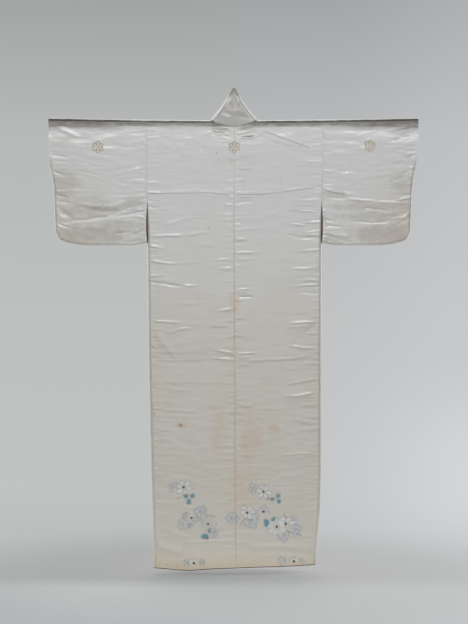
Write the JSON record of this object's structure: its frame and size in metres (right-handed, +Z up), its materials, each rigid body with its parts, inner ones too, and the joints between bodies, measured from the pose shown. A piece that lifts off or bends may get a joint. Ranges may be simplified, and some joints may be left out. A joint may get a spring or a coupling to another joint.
{
  "type": "kosode on a hanging rod",
  "caption": "Full-length lined silk kosode with square sleeves, hung flat on a plain round rod through both sleeves, seen from its back.",
  "frame": {"origin": "middle of the hanging rod's axis, between the shoulders, where the garment is held", "axes": "+X to the right when the garment's back is looked at, +Y from the back to the front, +Z up"},
  "size_m": [1.2693, 0.0412, 1.6556],
  "materials": {
    "satin": "white silk satin, soft sheen, cream towards the hem",
    "lining": "dark red plain silk",
    "rod": "plain smooth wood"
  },
  "bodies": {
    "root": {"body_left": "satin", "body_right": "satin", "sleeve_left": "satin", "sleeve_right": "satin", "okumi_left": "satin", "okumi_right": "satin", "collar": "satin", "lining_body_left_back": "lining", "lining_body_left_front": "lining", "lining_body_right_back": "lining", "lining_body_right_front": "lining", "lining_sleeve_left_back": "lining", "lining_sleeve_left_front": "lining", "lining_sleeve_right_back": "lining", "lining_sleeve_right_front": "lining", "hanging_rod": "rod"}
  },
  "joints": []
}
